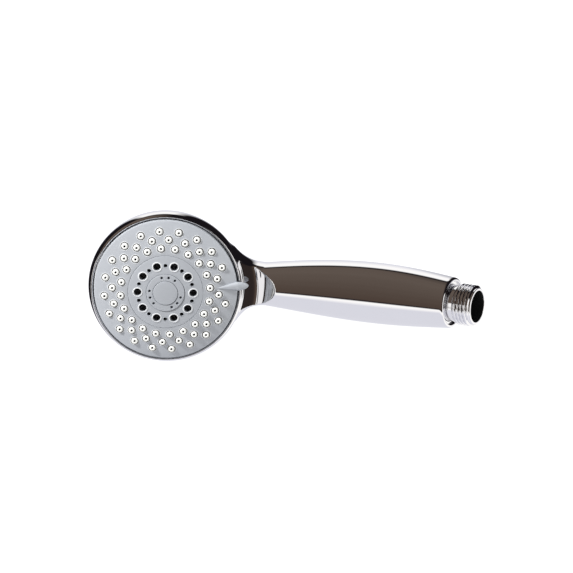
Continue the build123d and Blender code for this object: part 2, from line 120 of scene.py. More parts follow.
START_X, START_Z, START_SLOPE = 40.0, -17.0, math.radians(12.0)
HANDLE_FROM, HANDLE_REACH = 12.0, 38.0
NECK_AT, BELLY_AT = 0.11, 0.62
T_MIN, T_MAX = -0.25, 1.2       # the centre line is followed a little past both ends
HALF_WIDTHS = (11.25, 15.75, 12.8)      # neck, belly, end
HALF_DEPTHS = (12.0, 14.2, 12.6)
END_ROUND = 2.2
FLARE_HALF, FLARE_SPAN, FLARE_POWER = 11.2, 0.171, 2.4
FLARE_FROM, FLARE_FADE = 26.0, 10.0     # the flare dies out inside the head
FLARE_LEAN = 0.5                # how much wider the flare is at its front
VALLEY_SLOPE, VALLEY_BEND = 1.15, 0.45  # far wall of the lever's valley, and its foot
ROOF_Z, ROOF_R = -12.5, 46.0    # the neck's water way stays under this roof

THREAD_L, INLET_L = 10.0, 13.2
THREAD_R, ROOT_R, PITCH = 10.4775, 9.3155, 1.814
SPIGOT_R, SPIGOT_L = 9.3, 15.0
BORE_R, BORE_DEEP = 8.0, 7.0
RECESS_GAP, RECESS_DEEP = 1.7, 1.5      # recess of the handle's end round the inlet
BOSS_R, BOSS_ANGLES, BOSS_TOP, POST_R = 29.5, (75, 140, 220, 285), -21.4, 3.4
HANDLE_END = TIP - RUN * INLET_L

FLOOR_HALF, FLOOR_GAP = 6.0, 0.0004     # metres
# lights: place from the head in the camera's axes, size in metres, power in watts
LIGHTS = {
    "key_light": ((-1.05, 0.95, 0.95), 0.16, 50.0),
    "fill_light": ((1.2, -0.3, 1.4), 1.2, 5.0),
}


def dome(r):
    """Height of the spray face at radius r."""
    return math.sqrt(DOME_R**2 - r**2) - DOME_R


# ---------------------------------------------------------------- what a user may change
class ShellSizes(bpy.types.PropertyGroup):
    net: FloatProperty(name="Net", description="Edge length of the shell's net of faces, mm",
                       default=0.82, min=0.4, max=2.0)
    lip_round: FloatProperty(name="Lip rounding", description="How far the rim's lip is rounded, mm",
                             default=1.8, min=0.2, max=4.0)
    valley_depth: FloatProperty(name="Valley floor", description="Height of the lever valley's floor, mm",
                                default=-10.4)
    valley_foot: FloatProperty(name="Valley foot", default=47.3,
                               description="Radius where the valley's far wall starts, mm")


class FaceSizes(bpy.types.PropertyGroup):
    nozzle: FloatProperty(name="Nozzle radius", description="Radius of a silicone nozzle, mm",
                          default=1.7, min=0.5, max=2.0)
    proud: FloatProperty(name="Nozzle height", description="How far a nozzle stands over the face, mm",
                         default=0.9, min=0.0, max=2.0)
    count: IntProperty(name="Nozzles in a ring", description="Places for nozzles in each of the rings",
                       default=20, min=3, max=40)
    mist_hole: FloatProperty(name="Mist hole radius", description="Radius of a large mist hole, mm",
                             default=1.95, min=0.5, max=2.2)


class FinishColours(bpy.types.PropertyGroup):
    chrome: FloatVectorProperty(name="Chrome", description="Colour of the chromed shell",
                                subtype="COLOR", default=(0.86, 0.86, 0.88))
    satin: FloatVectorProperty(name="Satin grey", description="Colour of the satin spray face",
                               subtype="COLOR", default=(0.535, 0.56, 0.60))
    silicone: FloatVectorProperty(name="Silicone", description="Colour of the nozzles",
                                  subtype="COLOR", default=(0.90, 0.90, 0.87))


class StageSettings(bpy.types.PropertyGroup):
    place: FloatVectorProperty(name="Camera place", description="Where the camera stands",
                               subtype="TRANSLATION", default=(0.1622, 0.3436, 1.1078))
    turn: FloatVectorProperty(name="Camera turn", description="How the camera is turned", subtype="EULER",
                              default=[math.radians(a) for a in (-16.736, 13.009, -0.745)])
    lens: FloatProperty(name="Lens", description="Focal length in millimetres", default=146.4, min=20)
    daylight: FloatProperty(name="Daylight", description="Strength of the white surroundings",
                            default=0.42, min=0)


# ---------------------------------------------------------------- shape functions of the shell
def smooth_max(a, b, k):
    """Larger of two fields, rounded over a width k."""
    share = np.maximum(k - np.abs(a - b), 0) / k
    return np.maximum(a, b) + share**3 * k / 6


def smooth_min(a, b, k):
    """Smaller of two fields, rounded over a width k."""
    return -smooth_max(-a, -b, k)


def ellipse_gap(u, v, a, b):
    """Distance outside an ellipse of half sizes a and b, negative inside."""
    q = np.sqrt((u / a)**2 + (v / b)**2) + 1e-9
    slope = np.sqrt((u / a**2)**2 + (v / b**2)**2) + 1e-9
    return q * (q - 1) / slope


def handle_curve(t):
    """Centre line of the handle at t: point, first and second derivative in the plane X, Z."""
    start = Vector((START_X, 0, START_Z))
    lead = Vector((math.cos(START_SLOPE), 0, math.sin(START_SLOPE)))
    poles = [start, start + lead * HANDLE_REACH, HANDLE_END - RUN * HANDLE_REACH, HANDLE_END]
    u = 1 - t
    rows = []
    for i in (0, 2):
        p = [pole[i] for pole in poles]
        d = [3 * (p[k + 1] - p[k]) for k in range(3)]
        e = [2 * (d[k + 1] - d[k]) for k in range(2)]
        point = u**3 * p[0] + 3 * u * u * t * p[1] + 3 * u * t * t * p[2] + t**3 * p[3]
        rows.append((point, u * u * d[0] + 2 * u * t * d[1] + t * t * d[2], u * e[0] + t * e[1]))
    return rows


def along_handle(x, z):
    """Place t of the nearest point of the centre line, and the signed height over it."""
    t = np.clip((x - START_X) / (HANDLE_END.x - START_X), T_MIN, T_MAX)
    for _ in range(6):
        (px, dx, ex), (pz, dz, ez) = handle_curve(t)
        gap = (x - px) * dx + (z - pz) * dz
        rate = (x - px) * ex + (z - pz) * ez - dx * dx - dz * dz
        t = np.clip(t - gap / np.minimum(rate, -1.0), T_MIN, T_MAX)
    (px, dx, _), (pz, dz, _) = handle_curve(t)
    return t, (dx * (z - pz) - dz * (x - px)) / np.hypot(dx, dz)


def swell(t, sizes):
    """Half size of the handle at t: it swells from the neck and tapers to the end."""
    neck, belly, end = sizes
    rise = np.sin(np.clip((t - NECK_AT) / (BELLY_AT - NECK_AT), 0, 1) * math.pi / 2)
    fall = np.cos(np.clip((t - BELLY_AT) / (1 - BELLY_AT), 0, 1) * math.pi / 2)
    return np.where(t < BELLY_AT, neck + (belly - neck) * rise, end + (belly - end) * fall)


def flare(x, t, level):
    """Extra half width where the neck spreads into the head, wider towards the front."""
    spread = FLARE_HALF * np.clip((NECK_AT - t) / FLARE_SPAN, 0, 1)**FLARE_POWER
    spread = spread * np.clip((x - FLARE_FROM) / FLARE_FADE, 0, 1)
    return spread * (1 + FLARE_LEAN * np.clip(level, -1, 1))


def valley_height(r, sizes):
    """Height of the lever valley: a flat floor, then a slanted far wall."""
    rise = np.logaddexp(0, (r - sizes.valley_foot) / VALLEY_BEND)
    return sizes.valley_depth + VALLEY_SLOPE * VALLEY_BEND * rise


def at_inlet(x, y, z):
    """How far points lie beyond the handle's end, and how far from the inlet's axis."""
    beyond = (x - HANDLE_END.x) * RUN.x + (z - HANDLE_END.z) * RUN.z
    return beyond, np.hypot((z - HANDLE_END.z) * RUN.x - (x - HANDLE_END.x) * RUN.z, y)


def head_form(r, z, sizes):
    """Outside of the head with its lip."""
    back = ellipse_gap(r, z - RIM_Z, RIM_R, BOWL_DEPTH)
    side = ellipse_gap(r, z - RIM_Z, RIM_R, RIM_RISE)
    head = smooth_max(np.where(z < RIM_Z, back, side), z - LIP_Z, sizes.lip_round)
    slope = math.radians(LIP_SLOPE)
    inward = (z - LIP_Z) * math.cos(slope) + (LIP_R - r) * math.sin(slope)
    return smooth_max(head, inward, LIP_CORNER)


def screw_posts(x, y, z):
    """Solid posts inside the head for the carrier's screws."""
    gap = np.full_like(x, np.inf)
    for angle in BOSS_ANGLES:
        across, up = polar(BOSS_R, math.radians(angle))
        gap = np.minimum(gap, np.hypot(x - across, y - up) - POST_R)
    return np.maximum(gap, z - BOSS_TOP)


def shell_field(points, sizes):
    """Signed field of the chromed shell: negative inside the moulding."""
    x, y, z = points.T
    r = np.hypot(x, y)
    t, height = along_handle(x, z)
    deep = swell(t, HALF_DEPTHS)
    wide = swell(t, HALF_WIDTHS) + flare(x, t, height / deep)
    beyond, across = at_inlet(x, y, z)
    valley = valley_height(r, sizes)

    handle = np.maximum(ellipse_gap(y, height, wide, deep), HANDLE_FROM - x)
    handle = smooth_max(handle, beyond, END_ROUND)
    handle = smooth_max(handle, z - valley, 0.6)
    low = np.clip((-10.8 - z) / 4, 0, 1)
    fillet = 0.9 + 5.5 * low * low * (3 - 2 * low)      # wider under the valley
    body = smooth_min(head_form(r, z, sizes), handle, fillet)

    hollow = ellipse_gap(y, height, wide - SHELL_T, deep - SHELL_T)
    hollow = np.maximum(hollow, np.abs(t - 0.44) * 100 - 44)    # stops short of the end
    roof = np.minimum(valley, ROOF_Z + VALLEY_SLOPE * np.maximum(r - ROOF_R, 0))
    hollow = smooth_max(hollow, z - roof + NECK_WALL, 1.0)
    bowl = ellipse_gap(r, np.minimum(z - RIM_Z, 0), MOUTH_R, BOWL_DEPTH - SHELL_T)
    hollow = smooth_min(hollow, bowl, 1.5)
    socket = np.maximum(across - SPIGOT_R - 0.05, -beyond - SPIGOT_L - 5)
    hollow = smooth_min(hollow, socket, 0.6)
    hollow = smooth_max(hollow, -screw_posts(x, y, z), 0.6)
    body = smooth_max(body, -hollow, 1.7)
    recess = np.maximum(across - HALF_WIDTHS[2] + RECESS_GAP, -beyond - RECESS_DEEP)
    return smooth_max(body, -recess, 0.9)


def gradient(field, points, step=0.01):
    """Slope of a field at some points, by central differences."""
    columns = []
    for axis in np.eye(3):
        columns.append((field(points + axis * step) - field(points - axis * step)) / (2 * step))
    return np.stack(columns, axis=1)


def settle(field, points, rounds):
    """Moves points onto the surface where the field is zero."""
    for _ in range(rounds):
        value = field(points)
        slope = gradient(field, points)
        reach = np.clip(value / np.maximum((slope**2).sum(axis=1), 0.05), -0.6, 0.6)
        points = points - slope * reach[:, None]
    return points


def surface_net(field, low, high, step):
    """Net of four-sided faces around the surface of a field, as points and faces."""
    axes = [np.arange(a, b + step, step) for a, b in zip(low, high)]
    yy, zz = np.meshgrid(axes[1], axes[2], indexing="ij")
    layers = [field(np.stack((np.full(yy.size, x), yy.ravel(), zz.ravel()), axis=1)) for x in axes[0]]
    values = np.array(layers).reshape([len(a) for a in axes])
    cells = tuple(n - 1 for n in values.shape)
    total = np.zeros(cells + (3,))
    hits = np.zeros(cells)
    crossings = []
    for axis in range(3):
        first, second = [k for k in range(3) if k != axis]
        turned = np.moveaxis(values, axis, 0)
        a, b = turned[:-1], turned[1:]
        cross = (a < 0) != (b < 0)
        share = np.where(cross, a / np.where(cross, a - b, 1), 0)
        crossings.append((cross, a < 0))
        hits_here, total_here = np.moveaxis(hits, axis, 0), np.moveaxis(total, axis, 0)
        for da, db in ((0, 0), (0, 1), (1, 0), (1, 1)):
            pick = (slice(None), slice(da, da + cells[first]), slice(db, db + cells[second]))
            hits_here += cross[pick]
            total_here[..., axis] += share[pick]
            total_here[..., first] += da * cross[pick]
            total_here[..., second] += db * cross[pick]
    active = hits > 0
    index = np.full(cells, -1)
    index[active] = np.arange(active.sum())
    corner = np.stack(np.meshgrid(*[a[:-1] for a in axes], indexing="ij"), axis=-1)
    points = corner[active] + total[active] / hits[active][:, None] * step
    faces = []
    for axis, (cross, start_inside) in enumerate(crossings):
        i, j, k = (np.argwhere(cross[:, 1:-1, 1:-1]) + (0, 1, 1)).T
        cell = np.moveaxis(index, axis, 0)
        quad = np.stack([cell[i, j - dj, k - dk] for dj, dk in ((0, 0), (1, 0), (1, 1), (0, 1))], axis=1)
        flip = start_inside[i, j, k] == (axis == 1)
        quad[flip] = quad[flip][:, ::-1]
        faces.append(quad)
    return points, np.concatenate(faces)


def even_out(field, points, faces, rounds):
    """Spaces the points of a net evenly along its surface."""
    edges = np.concatenate([faces[:, [k, (k + 1) % 4]] for k in range(4)])
    count = np.bincount(edges.ravel(), minlength=len(points))[:, None]
    for _ in range(rounds):
        total = np.zeros_like(points)
        for axis in range(3):
            total[:, axis] = np.bincount(edges[:, 0], points[edges[:, 1], axis], len(points))
            total[:, axis] += np.bincount(edges[:, 1], points[edges[:, 0], axis], len(points))
        slope = gradient(field, points)
        slope /= np.linalg.norm(slope, axis=1)[:, None] + 1e-9
        shift = total / count - points
        shift -= slope * (shift * slope).sum(axis=1)[:, None]
        points = settle(field, points + shift * 0.5, 1)
    return points


def refine(points, faces, chosen):
    """Splits the chosen faces of a net in four, with their neighbours fitted to them."""
    work = bmesh.new()
    corners = [work.verts.new(p) for p in points]
    for face in faces:
        work.faces.new([corners[i] for i in face])
    work.faces.ensure_lookup_table()
    edges = {edge for index in chosen for edge in work.faces[index].edges}
    bmesh.ops.subdivide_edges(work, edges=list(edges), cuts=1, use_grid_fill=True)
    work.verts.index_update()
    result = np.array([v.co for v in work.verts]), [[v.index for v in f.verts] for f in work.faces]
    work.free()
    return result


def fine_detail(points, faces):
    """Faces near the lip, the lever's valley and the handle's end, which need a finer net."""
    x, y, z = points[faces].mean(axis=1).T
    r = np.hypot(x, y)
    beyond, _ = at_inlet(x, y, z)
    lip = (z > -9.6) & (r < 41.0) & (r > 36.5)
    valley = (np.abs(r - 45.0) < 6.5) & (z > -13.0) & (x > 30)
    return np.flatnonzero(lip | valley | (beyond > -3.2))


# ---------------------------------------------------------------- mesh helpers
def new_piece(name, points, faces, place, normals=None, sharp=None, marks=None):
    """Mesh object from points in millimetres, put where the placement says.

    marks gives, for an attribute's name, its value at a point.
    """
    mesh = bpy.data.meshes.new(name)
    mesh.from_pydata([tuple(p) for p in points], [], [tuple(int(i) for i in f) for f in faces])
    for label, value in (marks or {}).items():
        layer = mesh.attributes.new(label, "FLOAT", "POINT")
        layer.data.foreach_set("value", [float(value(*p)) for p in points])
    mesh.transform(place)
    mesh.polygons.foreach_set("use_smooth", [True] * len(mesh.polygons))
    if sharp is not None:
        mesh.set_sharp_from_angle(angle=math.radians(sharp))
    if normals is not None:
        turned = normals @ np.array(place.to_3x3().normalized()).T
        turned /= np.linalg.norm(turned, axis=1)[:, None]
        mesh.normals_split_custom_set_from_vertices([tuple(n) for n in turned])
    piece = bpy.data.objects.new(name, mesh)
    bpy.context.scene.collection.objects.link(piece)
    return piece


def face_outwards(points, faces):
    """The same closed faces, all turned outwards, with doubled points merged."""
    work = bmesh.new()
    corners = [work.verts.new(p) for p in points]
    for face in faces:
        ring = [corners[i] for i in face]
        if len(set(ring)) == len(ring):
            work.faces.new(ring)
    bmesh.ops.remove_doubles(work, verts=work.verts, dist=1e-5)
    bmesh.ops.recalc_face_normals(work, faces=work.faces)
    work.verts.index_update()
    result = [v.co.copy() for v in work.verts], [[v.index for v in f.verts] for f in work.faces]
    work.free()
    return result


def polar(r, a, x=0.0, y=0.0):
    """Point at radius r and angle a round (x, y)."""
    return x + r * math.cos(a), y + r * math.sin(a)


def circle(x, y, radius, count):
    """Points of a circle round (x, y)."""
    return [polar(radius, 2 * math.pi / count * k, x, y) for k in range(count)]


def skin(rows, closed=False):
    """Faces between rows of points that run round a piece."""
    faces = []
    for lower, upper in zip(rows, rows[1:] + rows[:1] if closed else rows[1:]):
        for k in range(len(lower)):
            n = (k + 1) % len(lower)
            faces.append(list(dict.fromkeys((lower[k], lower[n], upper[n], upper[k]))))
    return faces


def lathe(outline, segments):
    """Closed surface turned about Z from (r, z) points; ends on the axis become poles."""
    points, rows = [], []
    for r, z in outline:
        count = segments if r > 0 else 1
        rows.append([len(points) + k % count for k in range(segments)])
        points += [(x, y, z) for x, y in circle(0, 0, r, count)]
    return points, skin(rows, closed=outline[0][0] > 0)


def rounded(corners, radii, steps=4):
    """Closed outline with each corner that has a radius turned into a short arc."""
    result = []
    count = len(corners)
    for i, radius in enumerate(radii):
        corner = Vector(corners[i])
        before = Vector(corners[i - 1]) - corner
        after = Vector(corners[(i + 1) % count]) - corner
        size = min(radius, before.length / 2, after.length / 2)
        if size <= 0:
            result.append(tuple(corner))
            continue
        start = corner + before.normalized() * size
        stop = corner + after.normalized() * size
        for k in range(steps + 1):
            u = k / steps
            result.append(tuple(start * (1 - u)**2 + corner * 2 * u * (1 - u) + stop * u**2))
    return result


class Edge:
    """Round edge of a plate: a hole or the rim, with the profile that rolls it over.

    The profile's entries are (into the plate, height over the front); the first stays on the
    front sheet and the last on the back sheet.
    """

    def __init__(self, x, y, radius, profile, count, outside=False):
        self.x, self.y, self.radius = x, y, radius
        self.profile, self.count = profile, count
        self.sign = -1 if outside else 1

    def ring(self, step):
        """Flat circle of points at one step of the profile."""
        return circle(self.x, self.y, self.radius + self.sign * self.profile[step][0], self.count)

    def clear(self, x, y, room):
        """Whether a point lies on the plate's side of the edge, with room to spare."""
        reach = self.radius + self.sign * self.profile[0][0]
        return self.sign * (math.hypot(x - self.x, y - self.y) - reach) > room


def plate_net(edges, outer, inner, spacing):
    """Triangles that fill a plate between its edges, as flat points and faces."""
    flat, links = [], []
    for edge in edges:
        first = len(flat)
        flat += edge.ring(0)
        links += [(first + k, first + (k + 1) % edge.count) for k in range(edge.count)]
    radius = inner + spacing * 0.5
    while radius < outer:
        count = max(6, int(2 * math.pi * radius / spacing))
        shift = radius * 7.0
        for k in range(count):
            x, y = polar(radius, 2 * math.pi * k / count + shift)
            if all(edge.clear(x, y, spacing * 0.35) for edge in edges):
                flat.append((x, y))
        radius += spacing
    points, _, faces, _, _, _ = delaunay_2d_cdt([Vector(p) for p in flat], links, [], 0, 1e-7)
    if len(points) != len(flat):
        raise ValueError("The plate's edges touch each other")
    kept = []
    for face in faces:
        x = sum(points[i].x for i in face) / 3
        y = sum(points[i].y for i in face) / 3
        if all(edge.clear(x, y, -1e-3) for edge in edges):
            kept.append(face)
    return points, kept


def plate(edges, outer, inner, height, thick, spacing=1.2):
    """Closed plate with rolled edges whose front follows a height over the radius."""
    flat, net = plate_net(edges, outer, inner, spacing)
    size = len(flat)
    points = [(p.x, p.y, height(p.length)) for p in flat]
    points += [(p.x, p.y, height(p.length) - thick) for p in flat]
    faces = [list(face) for face in net]
    faces += [[i + size for i in reversed(face)] for face in net]
    first = 0
    for edge in edges:
        rows = [[first + k for k in range(edge.count)]]
        for step in range(1, len(edge.profile) - 1):
            rows.append([len(points) + k for k in range(edge.count)])
            level = edge.profile[step][1]
            points += [(x, y, height(math.hypot(x, y)) + level) for x, y in edge.ring(step)]
        rows.append([first + size + k for k in range(edge.count)])
        faces += skin(rows)
        first += edge.count
    return face_outwards(points, faces)


def rolled(reach, drop, thick):
    """Profile of a softly rounded edge of a plate."""
    steps = [(reach, 0.0)]
    for k in range(1, 5):
        a = math.pi / 2 * k / 4
        steps.append((reach * (1 - math.sin(a)), -drop * (1 - math.cos(a))))
    return steps + [(0.0, -thick + 0.15), (0.0, -thick), (reach, -thick)]


def lipped(width, rise, thick):
    """Profile of a hole with a low raised lip round it."""
    steps = [(width + 0.35, 0.0), (width + 0.12, 0.02), (width, 0.3 * rise)]
    steps += [(0.8 * width, 0.8 * rise), (0.5 * width, rise), (0.22 * width, 0.85 * rise)]
    steps += [(0.04, 0.3 * rise), (0.0, -0.15), (0.0, -thick + 0.1), (0.0, -thick)]
    return steps + [(width + 0.35, -thick)]


def highlight_on_lips(edges, width):
    """Tells whether a point lies on the raised lip of one of the holes, where a highlight is painted."""
    def on_lip(x, y, z):
        gap = min((math.hypot(x - edge.x, y - edge.y) - edge.radius for edge in edges), key=abs)
        return -0.03 < gap < width and z > dome(math.hypot(x, y)) + 0.02

    return on_lip


def join(parts):
    """Several point and face lists as one."""
    points, faces = [], []
    for more_points, more_faces in parts:
        shift = len(points)
        points += [tuple(p) for p in more_points]
        faces += [[i + shift for i in face] for face in more_faces]
    return points, faces


def nozzle_rings(count):
    """Rings of nozzles: radius, first angle, and how many places are filled."""
    return ((31.6, 18.0, count - 1), (27.45, 9.0, count), (23.1, 0.0, count))


# ---------------------------------------------------------------- geometry nodes
def ring_tree():
    """Tree that sets copies of a piece round a ring on the domed face."""
    tree = bpy.data.node_groups.new("ring_of_pieces", "GeometryNodeTree")
    face = tree.interface
    face.new_socket("Geometry", in_out="INPUT", socket_type="NodeSocketGeometry")
    for label, kind in (("Piece", "Object"), ("Material", "Material"), ("Ring radius", "Float"),
                        ("First angle", "Float"), ("Places", "Int"), ("Filled", "Int"),
                        ("Dome radius", "Float"), ("Unit", "Float")):
        face.new_socket(label, in_out="INPUT", socket_type=f"NodeSocket{kind}")
    face.new_socket("Geometry", in_out="OUTPUT", socket_type="NodeSocketGeometry")
    nodes, links = tree.nodes, tree.links

    def node(kind, settings=None, **sockets):
        made = nodes.new(kind)
        for key, value in (settings or {}).items():
            setattr(made, key, value)
        for key, value in sockets.items():
            slot = made.inputs[int(key[1:])] if key[0] == "i" and key[1:].isdigit() else made.inputs[key]
            if isinstance(value, bpy.types.NodeSocket):
                links.new(value, slot)
            else:
                slot.default_value = value
        return made

    def math_node(operation, first, second=0.0):
        return node("ShaderNodeMath", {"operation": operation}, i0=first, i1=second).outputs[0]

    given = nodes.new("NodeGroupInput").outputs
    ring = node("GeometryNodeMeshCircle", Vertices=given["Places"], Radius=given["Ring radius"])
    turn = node("ShaderNodeCombineXYZ", Z=given["First angle"])
    turned = node("GeometryNodeTransform", i0=ring.outputs[0], Rotation=turn.outputs[0])
    index = nodes.new("GeometryNodeInputIndex").outputs[0]
    spare = node("FunctionNodeCompare", {"data_type": "INT", "operation": "GREATER_EQUAL"},
                 i2=index, i3=given["Filled"])
    kept = node("GeometryNodeDeleteGeometry", i0=turned.outputs[0], Selection=spare.outputs[0])
    square = math_node("MULTIPLY", given["Dome radius"], given["Dome radius"])
    reach = math_node("MULTIPLY", given["Ring radius"], given["Ring radius"])
    level = math_node("SQRT", math_node("SUBTRACT", square, reach))
    rise = math_node("SUBTRACT", level, given["Dome radius"])
    lift = node("ShaderNodeCombineXYZ", Z=rise)
    placed = node("GeometryNodeSetPosition", Geometry=kept.outputs[0], Offset=lift.outputs[0])
    source = node("GeometryNodeObjectInfo", Object=given["Piece"])
    size = node("ShaderNodeCombineXYZ", X=given["Unit"], Y=given["Unit"], Z=given["Unit"])
    copies = node("GeometryNodeInstanceOnPoints", Points=placed.outputs[0],
                  Instance=source.outputs["Geometry"], Scale=size.outputs[0])
    real = node("GeometryNodeRealizeInstances", Geometry=copies.outputs[0])
    both = nodes.new("GeometryNodeJoinGeometry")
    links.new(given["Geometry"], both.inputs[0])
    links.new(real.outputs[0], both.inputs[0])
    finished = node("GeometryNodeSetMaterial", Geometry=both.outputs[0], Material=given["Material"])
    links.new(finished.outputs[0], nodes.new("NodeGroupOutput").inputs[0])
    return tree


def set_input(modifier, label, value):
    """Sets a tree's input on a modifier by the socket's identifier."""
    for item in modifier.node_group.interface.items_tree:
        if item.in_out == "INPUT" and item.name == label:
            modifier[item.identifier] = value
            return
    raise KeyError(label)


def made_plain(piece, name, place):
    """Plain mesh of an object's evaluated shape, placed; the object itself is removed."""
    graph = bpy.context.evaluated_depsgraph_get()
    mesh = bpy.data.meshes.new_from_object(piece.evaluated_get(graph), depsgraph=graph)
    bpy.data.objects.remove(piece)
    mesh.name = name
    mesh.transform(place)
    result = bpy.data.objects.new(name, mesh)
    bpy.context.scene.collection.objects.link(result)
    return result


def rings_of(name, shape, hole_shade_marks, rings, places, finish, place, start):
    """One mesh of a starting piece and copies of a shape, set in rings on the domed face."""
    # the jet attribute carries the painted shade of the copies' holes and roots
    pattern = new_piece(f"{name}_pattern", *shape, Matrix.Identity(4), sharp=40, marks={"jet": hole_shade_marks})
    base = new_piece(f"{name}_base", *start, Matrix.Identity(4), sharp=40)
    base.data.materials.append(finish)
    pattern.data.materials.append(finish)
    tree = bpy.data.node_groups.get("ring_of_pieces") or ring_tree()
    for radius, angle, filled in rings:
        modifier = base.modifiers.new(f"ring_{radius}", "NODES")
        modifier.node_group = tree
        for label, value in (("Piece", pattern), ("Material", finish), ("Ring radius", radius),
                             ("First angle", math.radians(angle)), ("Places", places),
                             ("Filled", filled), ("Dome radius", DOME_R), ("Unit", 1.0)):
            set_input(modifier, label, value)
    result = made_plain(base, name, place)
    bpy.data.objects.remove(pattern)
    return result


# ---------------------------------------------------------------- shader helpers
class Value:
    """A shader socket that takes part in plain arithmetic."""

    def __init__(self, shader, socket):
        self.shader, self.socket = shader, socket

    def math(self, operation, other, swapped=False):
        """Adds a Math node of this value and another."""
        pair = (other, self) if swapped else (self, other)
        return self.shader.add("ShaderNodeMath", {"operation": operation}, {0: pair[0], 1: pair[1]})

    def __add__(self, other):
        return self.math("ADD", other)

    def __mul__(self, other):
        return self.math("MULTIPLY", other)

    def __sub__(self, other):
        return self.math("SUBTRACT", other)

    def __rsub__(self, other):
        return self.math("SUBTRACT", other, swapped=True)

    __radd__ = __add__
    __rmul__ = __mul__


class NodeMaths:
    """Emptied node tree in which the nodes of a finish or of the world are laid out."""

    def __init__(self, tree, coordinates):
        self.tree = tree
        self.tree.nodes.clear()
        self.place = self.add("ShaderNodeTexCoord", output=coordinates)

    def add(self, kind, settings=None, sockets=None, output=0):
        """Adds a node: its settings first, then the values or links of its sockets."""
        made = self.tree.nodes.new(kind)
        for label, value in (settings or {}).items():
            setattr(made, label, value)
        for label, value in (sockets or {}).items():
            if isinstance(value, Value):
                self.tree.links.new(value.socket, made.inputs[label])
            else:
                made.inputs[label].default_value = value
        return Value(self, made.outputs[output])

    def noise(self, per_metre, detail=3.0, rough=0.55):
        """Even noise at a number of cells in a metre."""
        return self.add("ShaderNodeTexNoise", {"noise_dimensions": "3D"},
                        {"Vector": self.place, "Scale": per_metre, "Detail": detail, "Roughness": rough})

    def band(self, value, low, high, to_low=0.0, to_high=1.0):
        """Maps a value from one range to another, held at the ends."""
        return self.add("ShaderNodeMapRange", {"clamp": True},
                        {"Value": value, "From Min": low, "From Max": high,
                         "To Min": to_low, "To Max": to_high})

    def mix(self, factor, first, second):
        """Colour between two colours."""
        return self.add("ShaderNodeMix", {"data_type": "RGBA"},
                        {"Factor": factor, 6: self.opaque(first), 7: self.opaque(second)}, output=2)

    def opaque(self, colour):
        """Colour with an alpha of one, or a socket as it is."""
        return colour if isinstance(colour, Value) else (*colour[:3], 1.0)


class Shader(NodeMaths):
    """Node tree of one finish, with a Principled surface."""

    def __init__(self, name, **constants):
        self.material = bpy.data.materials.get(name) or bpy.data.materials.new(name)
        self.material.use_nodes = True
        super().__init__(self.material.node_tree, "Object")
        output = self.tree.nodes.new("ShaderNodeOutputMaterial")
        self.surface = self.tree.nodes.new("ShaderNodeBsdfPrincipled")
        self.tree.links.new(self.surface.outputs[0], output.inputs[0])
        for label, value in constants.items():
            self.surface.inputs[label.title()].default_value = value

    def feed(self, label, value):
        """Links a value or sets a constant on the surface."""
        if isinstance(value, Value):
            self.tree.links.new(value.socket, self.surface.inputs[label])
        else:
            self.surface.inputs[label].default_value = value

    def bump(self, height, strength, distance):
        """Feeds a height into the surface's normal."""
        made = self.add("ShaderNodeBump", None,
                        {"Height": height, "Strength": strength, "Distance": distance})
        self.feed("Normal", made)


def shade(colour, factor):
    """A colour scaled in brightness."""
    return tuple(min(c * factor, 1.0) for c in colour[:3])


# ---------------------------------------------------------------- finishes
def chrome(colours):
    """Polished chrome with the faint haze of wiping."""
    made = Shader("chrome_finish", metallic=1.0)
    haze = made.noise(60.0, 2.0)
    wipes = made.noise(900.0, 4.0, 0.7)
    made.feed("Base Color", made.mix(haze, shade(colours.chrome, 0.97), colours.chrome))
    made.feed("Roughness", made.band(haze * 0.7 + wipes * 0.3, 0.35, 0.7, 0.018, 0.05))
    return made.material


def satin(colours):
    """Satin silver-grey plastic with a fine moulded grain, and a painted highlight on the raised lips round the
    holes.
    """
    made = Shader("satin_finish", metallic=0.3)
    grain = made.noise(5200.0, 2.0, 0.6)
    flow = made.noise(45.0, 2.0)
    tone = made.mix(made.band(flow, 0.35, 0.65), shade(colours.satin, 0.96), shade(colours.satin, 1.03))
    body = made.mix(made.band(grain, 0.3, 0.7), shade(colours.satin, 0.93), tone)
    # painted highlight: the raised lips round the holes are mixed towards near white
    highlight_share = made.add("ShaderNodeAttribute", {"attribute_name": "painted_lip_highlight"}, output="Fac")
    made.feed("Base Color", made.mix(highlight_share * 0.75, body, (0.95, 0.96, 0.97)))
    made.feed("Roughness", made.band(grain, 0.3, 0.7, 0.34, 0.46))
    made.bump(grain, 0.12, 0.00003)
    return made.material


def silicone(colours):
    """Soft white silicone, a little cloudy, with painted shade: near black in the jet hole and darker on the root
    below the face.
    """
    made = Shader("silicone_finish", metallic=0.0)
    cloud = made.noise(700.0, 3.0)
    # painted shade: the jet attribute darkens the jet hole and the nozzle's root in its gap
    jet = made.add("ShaderNodeAttribute", {"attribute_name": "jet"}, output="Fac")
    body = made.mix(cloud, shade(colours.silicone, 0.94), colours.silicone)
    made.feed("Base Color", made.mix(jet, body, (0.015, 0.015, 0.017)))
    made.feed("Roughness", made.band(cloud, 0.3, 0.7, 0.42, 0.58))
    made.bump(cloud, 0.1, 0.00002)
    return made.material


def moulded(name, colour, rough, grain_size=3000.0):
    """Moulded plastic or rubber: faint mottling and a fine grain."""
    made = Shader(name, metallic=0.0)
    grain = made.noise(grain_size, 3.0)
    flow = made.noise(160.0, 2.0)
    tone = made.mix(flow, shade(colour, 0.85), shade(colour, 1.1))
    made.feed("Base Color", made.mix(made.band(grain, 0.4, 0.7), tone, shade(colour, 0.8)))
    made.feed("Roughness", made.band(grain, 0.3, 0.7, rough - 0.06, rough + 0.08))
    made.bump(grain, 0.15, 0.00003)
    return made.material


def bore_shade_paint(colours):
    """Near-black moulded finish that paints shade inside the inlet's deep bore."""
    return moulded("painted_bore_shade_finish", shade(colours.chrome, 0.012), 0.5)


